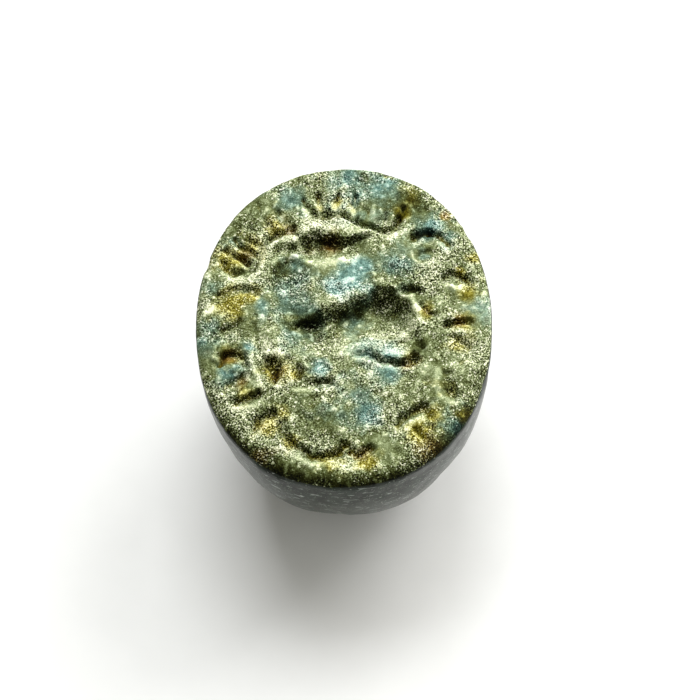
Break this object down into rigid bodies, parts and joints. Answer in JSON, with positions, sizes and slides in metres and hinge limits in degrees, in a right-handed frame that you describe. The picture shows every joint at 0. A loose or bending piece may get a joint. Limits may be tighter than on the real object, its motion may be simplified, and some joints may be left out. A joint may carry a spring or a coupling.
{
  "type": "bead seal",
  "caption": "Pierced stone bead seal: flat oval face cut with a lying stag inside a ring of strokes, domed back, cross hole for stringing.",
  "frame": {"origin": "middle of the small flat spot on the domed back, on which the seal lies", "axes": "+Z out of the carved face, +Y to the top of the carved picture, +X to its right and along the stringing hole"},
  "size_m": [0.019, 0.023, 0.0139],
  "materials": {
    "seal_stone": "carved face matt and weathered, grey-green with blue patches, pale crust and ochre dirt in the cuts; back dark slate grey with a worn satin polish"
  },
  "bodies": {
    "root": {"seal_stone": "seal_stone"}
  },
  "joints": []
}
